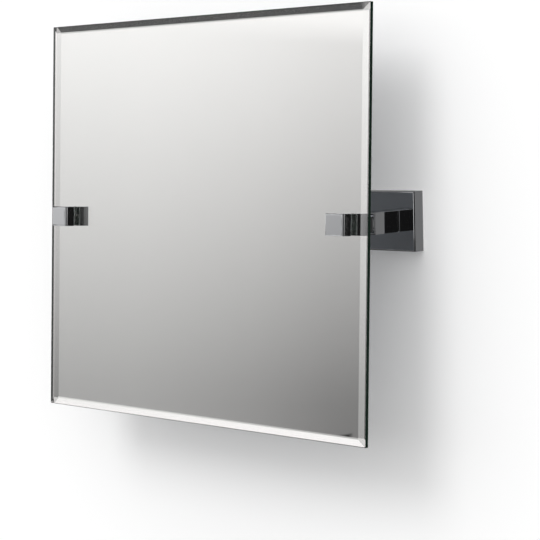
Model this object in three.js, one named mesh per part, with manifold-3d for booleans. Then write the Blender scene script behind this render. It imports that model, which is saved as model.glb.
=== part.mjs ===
// Pivot wall mirror: a bevelled pane held at mid-height by two square clamps, each on a friction
// hinge at the end of a square arm that stands on its own square wall plate.
//
// Frame, in millimetres: the origin lies on the wall, midway between the two wall plates and level
// with the hinges. +X runs to the viewer's right, +Y into the wall, +Z up.
// "out" is the distance that a face stands out from the wall, so its Y is minus that distance.
// Everything is laid out with the mirror vertical, and what the hinges carry is then tilted.

import * as THREE from "three";
import { mergeVertices } from "three/addons/utils/BufferGeometryUtils.js";
import Module from "manifold-3d";

// ---------------------------------------------------------------- driving dimensions

// The mirror's tilt about its hinges, in degrees: below zero, its top leans towards the wall.
const REST_TILT = -3;

// Glass
const GLASS_WIDTH = 420;
const GLASS_HEIGHT = 400;
const GLASS_THICKNESS = 6;
const BEVEL_WIDTH = 7;
const BEVEL_DROP = 1.55;
const EDGE_ARRIS = 0.4;
const SILVER_THICKNESS = 0.2;
const SILVER_MARGIN = 0.5;
const CLAMP_INSET = 27;

// Square bar that the arms and the clamps are cut from
const BAR_SIZE = 20.4;

// Glass clamps
const FRONT_BLOCK_DEPTH = 9.8;
const FRONT_BLOCK_FLOOR = 3;
const CAP_THICKNESS = 2.9;
const CAP_CHAMFER = 1.1;
const SEAM_CHAMFER = 0.45;
const CAP_SPIGOT_LENGTH = 1.3;
const CAP_SPIGOT_CLEARANCE = 0.2;
const PAD_THICKNESS = 1;
const PAD_MARGIN = 0.5;
const BUSH_WALL = 2.4;
const BUSH_CLEARANCE = 0.3;
const BUSH_END_GAP = 0.2;
const CLAMP_SCREW_RADIUS = 3;
const CLAMP_HEAD_RADIUS = 5;
const CLAMP_HEAD_HEIGHT = 5;
const CLAMP_HEAD_CLEARANCE = 0.5;
const CLAMP_THREAD_LENGTH = 7.5;

// Hinge
const CHEEK_RADIUS = 8.2;
const CHEEK_WIDTH = 5;
const CHEEK_TO_ARM_GAP = 1.3;
const TONGUE_RADIUS = 7.5;
const TONGUE_TIP_GAP = 1;
const FORK_WEB = 9;
const FORK_SHOULDER_LENGTH = 11.5;
const FRICTION_WASHER_THICKNESS = 0.5;
const HINGE_SIDE_CLEARANCE = 0.1;
const PIVOT_RADIUS = 3;
const PIVOT_CLEARANCE = 0.15;
const PIVOT_HEAD_RADIUS = 4.6;
const PIVOT_HEAD_HEIGHT = 2.4;
const PIVOT_HEAD_RECESS = 0.2;
const PIVOT_HEAD_CLEARANCE = 0.3;
const PIVOT_THREAD_LENGTH = 3.4;
const SPRING_WASHER_THICKNESS = 0.7;

// Arm
const ARM_LENGTH = 37.5;
const ARM_CHAMFER = 1.2;
const STUD_RADIUS = 4;
const STUD_LENGTH = 12;
const ARM_SCREW_RADIUS = 3;
const ARM_SCREW_LENGTH = 15;
const ARM_SCREW_HEAD_RADIUS = 5.6;
const ARM_SCREW_HEAD_HEIGHT = 2.6;

// Wall plate
const PLATE_SIZE = 56.5;
const PLATE_DEPTH = 14;
const PLATE_WALL = 4.2;
const PLATE_FACE = 3.6;
const PLATE_CHAMFER = 1.2;
const PLATE_WALL_GAP = 0.3;
const BRACKET_THICKNESS = 9;
const BRACKET_CLEARANCE = 0.3;
const WALL_SCREW_EDGE = 9.75;
const WALL_SCREW_RADIUS = 2.4;
const WALL_SCREW_HEAD_RADIUS = 4.7;
const WALL_SCREW_HEAD_HEIGHT = 2.6;
const WALL_SCREW_SINK = 0.4;
const GRUB_RADIUS = 2.5;
const GRUB_SINK = 0.6;
const GRUB_DIMPLE = 1.2;

// Between faces that are pressed together in the tilted half
const SEAT_GAP = 0.1;

// Shared by all screws
const THREAD_CLEARANCE = 0.1;
const SHANK_CLEARANCE = 0.3;
const HOLE_END_GAP = 1;
const TIP_CHAMFER = 0.5;
const HEX_SHARE = 0.52;
const RECESS_DEPTH_SHARE = 0.5;
const CROSS_LENGTH_SHARE = 1.15;
const CROSS_WIDTH_SHARE = 0.24;

// Facets on round pieces
const ROUND_SEGMENTS = 32;
const HEX_SEGMENTS = 6;
const CUT_THROUGH = 2;

// ---------------------------------------------------------------- stations, out from the wall

const plateFront = PLATE_DEPTH;
const plateCeiling = plateFront - PLATE_FACE;
const armEnd = plateFront + ARM_LENGTH;
const pivotOut = armEnd + CHEEK_TO_ARM_GAP + CHEEK_RADIUS;
const slotFloor = pivotOut + TONGUE_RADIUS + TONGUE_TIP_GAP;
const rearBlockFront = slotFloor + FORK_WEB;
const rearPadBack = rearBlockFront + SEAT_GAP;
const silverBack = rearPadBack + PAD_THICKNESS + SEAT_GAP;
const glassBack = silverBack + SILVER_THICKNESS + SEAT_GAP;
const glassFront = glassBack + GLASS_THICKNESS;
const frontPadBack = glassFront + SEAT_GAP;
const frontBlockBack = frontPadBack + PAD_THICKNESS + SEAT_GAP;
const clampHeadSeat = frontBlockBack + FRONT_BLOCK_FLOOR;
const frontBlockFront = frontBlockBack + FRONT_BLOCK_DEPTH;
const capBack = frontBlockFront + SEAT_GAP;
const capFront = capBack + CAP_THICKNESS;

const pivotX = GLASS_WIDTH / 2 - CLAMP_INSET;
const slotWidth = BAR_SIZE - 2 * CHEEK_WIDTH;
const washerGap = FRICTION_WASHER_THICKNESS + 2 * HINGE_SIDE_CLEARANCE;
const tongueWidth = slotWidth - 2 * washerGap;
const clampHoleRadius = CLAMP_SCREW_RADIUS + SHANK_CLEARANCE;
const counterboreRadius = CLAMP_HEAD_RADIUS + CLAMP_HEAD_CLEARANCE;
const bushRadius = clampHoleRadius + BUSH_WALL;
const glassHoleRadius = bushRadius + BUSH_CLEARANCE;
const pivotHoleRadius = PIVOT_RADIUS + PIVOT_CLEARANCE;
const cavitySize = PLATE_SIZE - 2 * PLATE_WALL;
const bracketSize = cavitySize - 2 * BRACKET_CLEARANCE;
const wallScrewHeight = bracketSize / 2 - WALL_SCREW_EDGE;

// ---------------------------------------------------------------- finishes

const finishes = {
  glass: { color: 0xdfe9e6, roughness: 0.02, metalness: 0.0 },
  silver: { color: 0x8d9093, roughness: 0.35, metalness: 0.4 },
  chrome: { color: 0xd4d6d9, roughness: 0.06, metalness: 1.0 },
  castZinc: { color: 0x9c9ea1, roughness: 0.45, metalness: 0.9 },
  steel: { color: 0xb3b5b8, roughness: 0.3, metalness: 1.0 },
  clearPad: { color: 0xc9d0cf, roughness: 0.4, metalness: 0.0 },
  nylon: { color: 0xe8e6df, roughness: 0.55, metalness: 0.0 },
};

// ---------------------------------------------------------------- joining and cutting solids

const wasm = await Module();
wasm.setup();

// A manifold solid from a closed three.js geometry.
function solid(geometry) {
  const bare = geometry.clone();
  bare.deleteAttribute("normal");
  bare.deleteAttribute("uv");
  const merged = mergeVertices(bare, 1e-5);
  const mesh = new wasm.Mesh({
    numProp: 3,
    vertProperties: new Float32Array(merged.attributes.position.array),
    triVerts: new Uint32Array(merged.index.array),
  });
  return new wasm.Manifold(mesh);
}

// The first geometry with the rest cut away.
function cut(geometry, ...tools) {
  const body = tools.reduce((left, tool) => left.subtract(solid(tool)), solid(geometry));
  return fromSolid(body);
}

// All the geometries as one body.
function join(geometry, ...others) {
  const body = others.reduce((left, other) => left.add(solid(other)), solid(geometry));
  return fromSolid(body);
}

function fromSolid(body) {
  const mesh = body.getMesh();
  const geometry = new THREE.BufferGeometry();
  geometry.setAttribute("position", new THREE.BufferAttribute(mesh.vertProperties, 3));
  geometry.setIndex(new THREE.BufferAttribute(mesh.triVerts, 1));
  geometry.computeVertexNormals();
  return geometry;
}

// ---------------------------------------------------------------- shapes used again and again

// A closed body through rectangles that are centred on the axis: each is [width, height, out].
// The rectangles are listed from the wall outwards.
function stack(rectangles) {
  const corners = [[-1, -1], [1, -1], [1, 1], [-1, 1]];
  const points = [];
  for (const [width, height, out] of rectangles) {
    for (const [x, z] of corners) {
      points.push((x * width) / 2, -out, (z * height) / 2);
    }
  }
  const faces = [];
  for (let layer = 0; layer < rectangles.length - 1; layer += 1) {
    for (let side = 0; side < corners.length; side += 1) {
      const next = (side + 1) % corners.length;
      const a = layer * corners.length + side;
      const b = layer * corners.length + next;
      faces.push(a, b, b + corners.length);
      faces.push(a, b + corners.length, a + corners.length);
    }
  }
  const last = (rectangles.length - 1) * corners.length;
  faces.push(0, 2, 1, 0, 3, 2);
  faces.push(last, last + 1, last + 2, last, last + 2, last + 3);
  const geometry = new THREE.BufferGeometry();
  geometry.setAttribute("position", new THREE.Float32BufferAttribute(points, 3));
  geometry.setIndex(faces);
  geometry.computeVertexNormals();
  return geometry;
}

// A square block between two distances from the wall.
function block(size, from, to) {
  return stack([[size, size, from], [size, size, to]]);
}

// A turned piece: the profile is a list of [radius, position along the axis], from axis to axis.
// It is made about the Y axis, with positions along +Y.
function turned(profile, segments = ROUND_SEGMENTS) {
  const points = profile.map(([radius, position]) => new THREE.Vector2(radius, position));
  return new THREE.LatheGeometry(points, segments);
}

function rod(radius, from, to, segments = ROUND_SEGMENTS) {
  return turned([[0, from], [radius, from], [radius, to], [0, to]], segments);
}

function ring(outer, inner, from, to) {
  const through = rod(inner, from - CUT_THROUGH, to + CUT_THROUGH);
  return cut(rod(outer, from, to), through);
}

// Turns a piece made along +Y so that its positions are distances out from the wall.
function outwards(geometry) {
  return geometry.rotateX(Math.PI);
}

// Turns a piece made along +Y so that its positions run along +X, at the hinge's height and depth.
function acrossHinge(geometry) {
  return geometry.rotateZ(-Math.PI / 2).translate(0, -pivotOut, 0);
}

// Extrudes a side outline, drawn as (out, up), by a width centred on the axis.
function sideways(outline, width) {
  const geometry = new THREE.ExtrudeGeometry(outline, {
    depth: width,
    bevelEnabled: false,
    curveSegments: ROUND_SEGMENTS / 2,
  });
  geometry.translate(0, 0, -width / 2);
  const turn = new THREE.Matrix4().makeBasis(
    new THREE.Vector3(0, -1, 0),
    new THREE.Vector3(0, 0, 1),
    new THREE.Vector3(-1, 0, 0),
  );
  return geometry.applyMatrix4(turn);
}

// A hexagon key's socket, cut into a head whose face lies at "face" and whose body lies below it.
function hexSocket(headRadius, headHeight, face) {
  const depth = headHeight * RECESS_DEPTH_SHARE;
  return rod(headRadius * HEX_SHARE, face - depth, face + CUT_THROUGH, HEX_SEGMENTS);
}

// ---------------------------------------------------------------- the glass

// A hole for each clamp, between two distances from the wall.
function clampHoles(radius, from, to) {
  return [-1, 1].map((side) => {
    const hole = outwards(rod(radius, from - CUT_THROUGH, to + CUT_THROUGH));
    return hole.translate(side * pivotX, 0, 0);
  });
}

function glassPane() {
  const land = glassFront - BEVEL_DROP;
  const pane = stack([
    [GLASS_WIDTH - 2 * EDGE_ARRIS, GLASS_HEIGHT - 2 * EDGE_ARRIS, glassBack],
    [GLASS_WIDTH, GLASS_HEIGHT, glassBack + EDGE_ARRIS],
    [GLASS_WIDTH, GLASS_HEIGHT, land],
    [GLASS_WIDTH - 2 * BEVEL_WIDTH, GLASS_HEIGHT - 2 * BEVEL_WIDTH, glassFront],
  ]);
  return cut(pane, ...clampHoles(glassHoleRadius, glassBack, glassFront));
}

function silverBacking() {
  const width = GLASS_WIDTH - 2 * SILVER_MARGIN;
  const height = GLASS_HEIGHT - 2 * SILVER_MARGIN;
  const front = silverBack + SILVER_THICKNESS;
  const layer = stack([[width, height, silverBack], [width, height, front]]);
  return cut(layer, ...clampHoles(glassHoleRadius, silverBack, front));
}

// ---------------------------------------------------------------- one clamp, centred on X = 0

function clampPad(from) {
  const pad = block(BAR_SIZE - 2 * PAD_MARGIN, from, from + PAD_THICKNESS);
  const hole = outwards(rod(clampHoleRadius, from - CUT_THROUGH, from + PAD_THICKNESS + CUT_THROUGH));
  return cut(pad, hole);
}

function holeBush() {
  return outwards(ring(bushRadius, clampHoleRadius, silverBack + BUSH_END_GAP, glassFront - BUSH_END_GAP));
}

function frontBlock() {
  const inner = BAR_SIZE - 2 * SEAM_CHAMFER;
  const body = stack([
    [BAR_SIZE, BAR_SIZE, frontBlockBack],
    [BAR_SIZE, BAR_SIZE, frontBlockFront - SEAM_CHAMFER],
    [inner, inner, frontBlockFront],
  ]);
  const counterbore = outwards(rod(counterboreRadius, clampHeadSeat, frontBlockFront + CUT_THROUGH));
  const hole = outwards(rod(clampHoleRadius, frontBlockBack - CUT_THROUGH, frontBlockFront));
  return cut(body, counterbore, hole);
}

function frontCap() {
  const seam = BAR_SIZE - 2 * SEAM_CHAMFER;
  const face = BAR_SIZE - 2 * CAP_CHAMFER;
  const cap = stack([
    [seam, seam, capBack],
    [BAR_SIZE, BAR_SIZE, capBack + SEAM_CHAMFER],
    [BAR_SIZE, BAR_SIZE, capFront - CAP_CHAMFER],
    [face, face, capFront],
  ]);
  const spigotRadius = counterboreRadius - CAP_SPIGOT_CLEARANCE;
  const spigot = outwards(rod(spigotRadius, capBack - CAP_SPIGOT_LENGTH, capBack + CAP_THICKNESS / 2));
  return join(cap, spigot);
}

function clampScrew() {
  const tip = rearBlockFront - CLAMP_THREAD_LENGTH;
  const seat = clampHeadSeat + SEAT_GAP;
  const top = seat + CLAMP_HEAD_HEIGHT;
  const screw = turned([
    [0, tip],
    [CLAMP_SCREW_RADIUS - TIP_CHAMFER, tip],
    [CLAMP_SCREW_RADIUS, tip + TIP_CHAMFER],
    [CLAMP_SCREW_RADIUS, seat],
    [CLAMP_HEAD_RADIUS, seat],
    [CLAMP_HEAD_RADIUS, top - TIP_CHAMFER],
    [CLAMP_HEAD_RADIUS - TIP_CHAMFER, top],
    [0, top],
  ]);
  return outwards(cut(screw, hexSocket(CLAMP_HEAD_RADIUS, CLAMP_HEAD_HEIGHT, top)));
}

// ---------------------------------------------------------------- one hinge, centred on X = 0

// Distances along X from the hinge's middle, on the side that the bolt goes in.
const pivotSeat = BAR_SIZE / 2 - PIVOT_HEAD_RECESS - PIVOT_HEAD_HEIGHT - SPRING_WASHER_THICKNESS;
const pivotTip = slotWidth / 2 + PIVOT_THREAD_LENGTH;

// The rear half of the clamp. Its back is a fork that takes the arm's tongue.
// "inward" is the direction along X in which the middle of the mirror lies.
function rearBlock(inward) {
  const half = BAR_SIZE / 2;
  const shoulder = rearBlockFront - FORK_SHOULDER_LENGTH;
  const outline = new THREE.Shape();
  outline.moveTo(rearBlockFront, half);
  outline.lineTo(shoulder, half);
  outline.lineTo(pivotOut, CHEEK_RADIUS);
  outline.absarc(pivotOut, 0, CHEEK_RADIUS, Math.PI / 2, (3 * Math.PI) / 2, false);
  outline.lineTo(shoulder, -half);
  outline.lineTo(rearBlockFront, -half);
  outline.closePath();
  const slot = stack([
    [slotWidth, BAR_SIZE + CUT_THROUGH, pivotOut - CHEEK_RADIUS - CUT_THROUGH],
    [slotWidth, BAR_SIZE + CUT_THROUGH, slotFloor],
  ]);
  const thread = outwards(rod(CLAMP_SCREW_RADIUS + THREAD_CLEARANCE, slotFloor - CUT_THROUGH,
    rearBlockFront + CUT_THROUGH));
  const shank = rod(pivotHoleRadius, 0, half);
  const counterbore = rod(PIVOT_HEAD_RADIUS + PIVOT_HEAD_CLEARANCE, pivotSeat, half + CUT_THROUGH);
  const blind = rod(PIVOT_RADIUS + THREAD_CLEARANCE, -pivotTip - THREAD_CLEARANCE, 0);
  const tools = [shank, counterbore, blind].map((tool) => facing(acrossHinge(tool), inward));
  return cut(sideways(outline, BAR_SIZE), slot, thread, ...tools);
}

// A piece made along +X, turned about the vertical line through the hinge so that it points inward.
function facing(geometry, inward) {
  if (inward > 0) {
    return geometry;
  }
  return geometry.translate(0, pivotOut, 0).rotateZ(Math.PI).translate(0, -pivotOut, 0);
}

function pivotBolt(inward) {
  const seat = pivotSeat + SPRING_WASHER_THICKNESS;
  const top = seat + PIVOT_HEAD_HEIGHT;
  const bolt = turned([
    [0, -pivotTip],
    [PIVOT_RADIUS - TIP_CHAMFER, -pivotTip],
    [PIVOT_RADIUS, TIP_CHAMFER - pivotTip],
    [PIVOT_RADIUS, seat],
    [PIVOT_HEAD_RADIUS, seat],
    [PIVOT_HEAD_RADIUS, top],
    [0, top],
  ]);
  const keyed = cut(bolt, hexSocket(PIVOT_HEAD_RADIUS, PIVOT_HEAD_HEIGHT, top));
  return facing(acrossHinge(keyed), inward);
}

function springWasher(inward) {
  const washer = ring(PIVOT_HEAD_RADIUS, pivotHoleRadius, pivotSeat, pivotSeat + SPRING_WASHER_THICKNESS);
  return facing(acrossHinge(washer), inward);
}

// The washers lie on each side of the tongue; "place" is +1 or -1 along X.
function frictionWasher(place) {
  const near = tongueWidth / 2 + HINGE_SIDE_CLEARANCE;
  const washer = ring(TONGUE_RADIUS, pivotHoleRadius, near, near + FRICTION_WASHER_THICKNESS);
  return facing(acrossHinge(washer), place);
}

// The tongue that the fork turns on, with the stud that holds it in the arm.
function armTongue() {
  const outline = new THREE.Shape();
  outline.moveTo(armEnd, -TONGUE_RADIUS);
  outline.lineTo(pivotOut, -TONGUE_RADIUS);
  outline.absarc(pivotOut, 0, TONGUE_RADIUS, -Math.PI / 2, Math.PI / 2, false);
  outline.lineTo(armEnd, TONGUE_RADIUS);
  outline.closePath();
  const eye = sideways(outline, tongueWidth);
  const stud = outwards(rod(STUD_RADIUS, armEnd - STUD_LENGTH, armEnd + HOLE_END_GAP));
  const hole = acrossHinge(rod(pivotHoleRadius, -slotWidth, slotWidth));
  return cut(join(eye, stud), hole);
}

// ---------------------------------------------------------------- one arm, centred on X = 0

function arm() {
  const end = BAR_SIZE - 2 * ARM_CHAMFER;
  const bar = stack([
    [end, end, plateFront],
    [BAR_SIZE, BAR_SIZE, plateFront + ARM_CHAMFER],
    [BAR_SIZE, BAR_SIZE, armEnd - ARM_CHAMFER],
    [end, end, armEnd],
  ]);
  const screwEnd = plateFront + ARM_SCREW_LENGTH + HOLE_END_GAP;
  const screwHole = outwards(rod(ARM_SCREW_RADIUS + THREAD_CLEARANCE, plateFront - CUT_THROUGH, screwEnd));
  const studEnd = armEnd - STUD_LENGTH - HOLE_END_GAP;
  const studHole = outwards(rod(STUD_RADIUS + THREAD_CLEARANCE, studEnd, armEnd + CUT_THROUGH));
  return cut(bar, screwHole, studHole);
}

// A countersunk seat or head: "face" is the wide end, and the cone narrows towards "face - height".
function countersink(faceRadius, shankRadius, height, face, end) {
  return turned([
    [0, end],
    [shankRadius, end],
    [shankRadius, face - height],
    [faceRadius, face],
    [0, face],
  ]);
}

// The screw that goes through the wall plate's face into the arm. Its head faces the wall.
function armScrew() {
  const length = PLATE_FACE + ARM_SCREW_LENGTH;
  const screw = countersink(ARM_SCREW_HEAD_RADIUS, ARM_SCREW_RADIUS, ARM_SCREW_HEAD_HEIGHT, 0, -length);
  const keyed = cut(screw, hexSocket(ARM_SCREW_RADIUS, 2 * ARM_SCREW_HEAD_HEIGHT, 0));
  return keyed.translate(0, -plateCeiling, 0);
}

// ---------------------------------------------------------------- one wall plate, centred on X = 0

function wallPlate() {
  const face = PLATE_SIZE - 2 * PLATE_CHAMFER;
  const shell = stack([
    [PLATE_SIZE, PLATE_SIZE, PLATE_WALL_GAP],
    [PLATE_SIZE, PLATE_SIZE, plateFront - PLATE_CHAMFER],
    [face, face, plateFront],
  ]);
  const cavity = block(cavitySize, PLATE_WALL_GAP - CUT_THROUGH, plateCeiling);
  const seat = countersink(
    ARM_SCREW_HEAD_RADIUS + SHANK_CLEARANCE,
    ARM_SCREW_RADIUS + SHANK_CLEARANCE,
    ARM_SCREW_HEAD_HEIGHT,
    0,
    -PLATE_FACE - CUT_THROUGH,
  ).translate(0, -plateCeiling, 0);
  const grubHole = underside(GRUB_RADIUS + THREAD_CLEARANCE, -PLATE_SIZE / 2 - CUT_THROUGH, -bracketSize / 2);
  return cut(shell, cavity, seat, grubHole);
}

// An upright hole between two heights, in line with the grub screw.
function underside(radius, from, to) {
  return rod(radius, from, to).rotateX(Math.PI / 2).translate(0, -BRACKET_THICKNESS / 2, 0);
}

function grubScrew() {
  const bottom = -PLATE_SIZE / 2 + GRUB_SINK;
  const top = -bracketSize / 2 + GRUB_DIMPLE;
  const length = top - bottom;
  const screw = turned([
    [0, -length],
    [GRUB_RADIUS - TIP_CHAMFER, -length],
    [GRUB_RADIUS, TIP_CHAMFER - length],
    [GRUB_RADIUS, 0],
    [0, 0],
  ]);
  const keyed = cut(screw, hexSocket(GRUB_RADIUS, length, 0));
  return keyed.rotateX(-Math.PI / 2).translate(0, -BRACKET_THICKNESS / 2, bottom);
}

function wallBracket() {
  const body = block(bracketSize, 0, BRACKET_THICKNESS);
  const face = BRACKET_THICKNESS - WALL_SCREW_SINK;
  const screwHoles = [-1, 1].map((place) => {
    const hole = countersink(
      WALL_SCREW_HEAD_RADIUS + SHANK_CLEARANCE,
      WALL_SCREW_RADIUS + SHANK_CLEARANCE,
      WALL_SCREW_HEAD_HEIGHT,
      face,
      -CUT_THROUGH,
    );
    const mouth = rod(WALL_SCREW_HEAD_RADIUS + SHANK_CLEARANCE, face, BRACKET_THICKNESS + CUT_THROUGH);
    return outwards(join(hole, mouth)).translate(0, 0, place * wallScrewHeight);
  });
  const dimpleTop = -bracketSize / 2 + GRUB_DIMPLE + THREAD_CLEARANCE;
  const dimple = underside(GRUB_RADIUS + SHANK_CLEARANCE, -bracketSize / 2 - CUT_THROUGH, dimpleTop);
  return cut(body, ...screwHoles, dimple);
}

// The screw ends at the wall's surface; the rest of it would be in the wall.
function wallScrew(place) {
  const face = BRACKET_THICKNESS - WALL_SCREW_SINK;
  const screw = countersink(WALL_SCREW_HEAD_RADIUS, WALL_SCREW_RADIUS, WALL_SCREW_HEAD_HEIGHT, face, 0);
  const long = WALL_SCREW_HEAD_RADIUS * CROSS_LENGTH_SHARE;
  const thin = WALL_SCREW_HEAD_RADIUS * CROSS_WIDTH_SHARE;
  const depth = WALL_SCREW_HEAD_HEIGHT * RECESS_DEPTH_SHARE;
  const slots = [[long, thin], [thin, long]].map(([width, height]) => stack([
    [width, height, face - depth],
    [width, height, face + CUT_THROUGH],
  ]));
  return cut(outwards(screw), ...slots).translate(0, 0, place * wallScrewHeight);
}

// ---------------------------------------------------------------- assembly

function piece(name, geometry, finish) {
  const mesh = new THREE.Mesh(geometry, new THREE.MeshStandardMaterial(finishes[finish]));
  mesh.name = name;
  return mesh;
}

// What stays on the wall, on one side.
function wallSide(name, inward) {
  const side = new THREE.Group();
  side.position.x = -inward * pivotX;
  side.add(
    piece(`${name}_wall_bracket`, wallBracket(), "castZinc"),
    piece(`${name}_wall_screw_upper`, wallScrew(1), "steel"),
    piece(`${name}_wall_screw_lower`, wallScrew(-1), "steel"),
    piece(`${name}_wall_plate`, wallPlate(), "chrome"),
    piece(`${name}_grub_screw`, grubScrew(), "steel"),
    piece(`${name}_arm`, arm(), "chrome"),
    piece(`${name}_arm_screw`, armScrew(), "steel"),
    piece(`${name}_arm_tongue`, armTongue(), "chrome"),
  );
  return side;
}

// What tilts with the glass, on one side. "inward" points to the middle of the mirror.
function tiltingSide(name, inward) {
  const side = new THREE.Group();
  side.position.x = -inward * pivotX;
  side.add(
    piece(`${name}_friction_washer_inner`, frictionWasher(inward), "nylon"),
    piece(`${name}_friction_washer_outer`, frictionWasher(-inward), "nylon"),
    piece(`${name}_pivot_bolt`, pivotBolt(inward), "steel"),
    piece(`${name}_spring_washer`, springWasher(inward), "steel"),
    piece(`${name}_rear_clamp_block`, rearBlock(inward), "chrome"),
    piece(`${name}_rear_pad`, clampPad(rearPadBack), "clearPad"),
    piece(`${name}_glass_hole_bush`, holeBush(), "nylon"),
    piece(`${name}_front_pad`, clampPad(frontPadBack), "clearPad"),
    piece(`${name}_front_clamp_block`, frontBlock(), "chrome"),
    piece(`${name}_clamp_screw`, clampScrew(), "steel"),
    piece(`${name}_front_cover_cap`, frontCap(), "chrome"),
  );
  return side;
}

const sides = { left: 1, right: -1 };

// The tilting half turns about the line through both hinges.
const hingeLine = new THREE.Group();
hingeLine.position.y = -pivotOut;
hingeLine.rotation.x = THREE.MathUtils.degToRad(REST_TILT);

const tiltingHalf = new THREE.Group();
tiltingHalf.position.y = pivotOut;
hingeLine.add(tiltingHalf);
tiltingHalf.add(
  piece("glass_pane", glassPane(), "glass"),
  piece("silver_backing", silverBacking(), "silver"),
);

const mirror = new THREE.Group();
mirror.add(hingeLine);
for (const [name, inward] of Object.entries(sides)) {
  mirror.add(wallSide(name, inward));
  tiltingHalf.add(tiltingSide(name, inward));
}

export default mirror;
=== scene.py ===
"""Looks of a pivot wall mirror, laid out as a Blender add-on and run as a script.

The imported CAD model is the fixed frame. Everything is in metres in that frame: the origin lies on
the wall between the two wall plates, +X runs to the right, +Y into the wall, +Z up.
"""

import math

import bmesh
import bpy
from bpy.props import FloatProperty, FloatVectorProperty, PointerProperty
from mathutils import Matrix, Vector


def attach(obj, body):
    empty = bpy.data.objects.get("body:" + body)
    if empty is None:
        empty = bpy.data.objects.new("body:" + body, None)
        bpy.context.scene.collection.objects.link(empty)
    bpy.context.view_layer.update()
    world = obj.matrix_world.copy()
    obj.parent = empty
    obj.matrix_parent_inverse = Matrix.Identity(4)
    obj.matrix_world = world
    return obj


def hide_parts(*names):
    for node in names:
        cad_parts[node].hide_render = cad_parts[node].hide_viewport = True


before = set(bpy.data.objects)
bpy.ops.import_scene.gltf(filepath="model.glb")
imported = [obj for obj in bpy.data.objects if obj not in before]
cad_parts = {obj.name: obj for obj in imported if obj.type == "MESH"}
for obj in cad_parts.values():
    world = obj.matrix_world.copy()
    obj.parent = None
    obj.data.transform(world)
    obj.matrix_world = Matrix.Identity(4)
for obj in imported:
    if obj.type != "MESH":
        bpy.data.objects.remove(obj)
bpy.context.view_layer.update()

bl_info = {
    "name": "Pivot wall mirror",
    "version": (1, 0, 0),
    "blender": (4, 5, 0),
    "location": "View3D > Sidebar > Mirror",
    "description": "Dresses the packed model of a pivot wall mirror",
    "category": "Object",
}

MM = 0.001
SIDES = ("left", "right")
WALL_BODY = "wall_mounts"
MIRROR_BODY = "mirror"


# ---------------------------------------------------------------- colours and nodes

def linear(hex_colour):
    """An sRGB hex colour as linear red, green and blue, and full alpha."""
    channels = [(hex_colour >> shift & 255) / 255 for shift in (16, 8, 0)]
    turned = [c / 12.92 if c <= 0.04045 else ((c + 0.055) / 1.055) ** 2.4 for c in channels]
    return (*turned, 1.0)


def dimmed(colour, share):
    """The same colour at this share of its brightness."""
    return (*(channel * share for channel in colour[:3]), 1.0)


def repeats(grain):
    """The scale at which a noise texture has grains of this size in metres."""
    return 1.0 / grain


def node(tree, kind, inputs=None, **settings):
    """Adds a node. An input is given a value, or the socket that is linked to it."""
    added = tree.nodes.new(kind)
    for name, value in settings.items():
        setattr(added, name, value)
    for name, value in (inputs or {}).items():
        socket = added.inputs[name]
        if isinstance(value, bpy.types.NodeSocket):
            tree.links.new(value, socket)
        else:
            socket.default_value = value
    return added


def empty_material(name):
    """A new material without nodes, and its node tree."""
    material = bpy.data.materials.new(name)
    material.use_nodes = True
    material.node_tree.nodes.clear()
    return material, material.node_tree


def set_ramp(ramp, stops):
    """Gives a colour ramp its stops, each a position and a grey level."""
    elements = ramp.color_ramp.elements
    while len(elements) > 1:
        elements.remove(elements[-1])
    for index, (position, level) in enumerate(stops):
        element = elements[0] if index == 0 else elements.new(position)
        element.position = position
        element.color = (level, level, level, 1.0)


# ---------------------------------------------------------------- materials

GLASS_IOR = 1.52
PLASTIC_IOR = 1.53


def polished_chrome(colour, roughness):
    """Chrome plate on polished brass: a hard mirror with the faint waviness of a buffed surface."""
    material, tree = empty_material("polished_chrome_plate")
    place = node(tree, "ShaderNodeTexCoord")
    # The haze that is left between two strokes of the buffing wheel.
    haze = node(tree, "ShaderNodeTexNoise", {
        "Vector": place.outputs["Object"], "Scale": repeats(11.1 * MM), "Detail": 3.0, "Roughness": 0.6,
    })
    gloss = node(tree, "ShaderNodeMapRange", {
        "Value": haze.outputs["Fac"], "From Min": 0.35, "From Max": 0.75,
        "To Min": roughness, "To Max": roughness * 1.7,
    })
    tint = node(tree, "ShaderNodeMix", {
        "Factor": haze.outputs["Fac"], "A": colour, "B": dimmed(colour, 0.96),
    }, data_type="RGBA")
    # The waves that the wheel leaves, about as wide as the pieces.
    wave = node(tree, "ShaderNodeTexNoise", {
        "Vector": place.outputs["Object"], "Scale": repeats(22.2 * MM), "Detail": 1.0,
    })
    bump = node(tree, "ShaderNodeBump", {
        "Height": wave.outputs["Fac"], "Strength": 0.03, "Distance": 0.2 * MM,
    })
    shader = node(tree, "ShaderNodeBsdfPrincipled", {
        "Base Color": tint.outputs["Result"], "Metallic": 1.0,
        "Roughness": gloss.outputs["Result"], "Normal": bump.outputs["Normal"],
    })
    node(tree, "ShaderNodeOutputMaterial", {"Surface": shader.outputs["BSDF"]})
    return material


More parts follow.
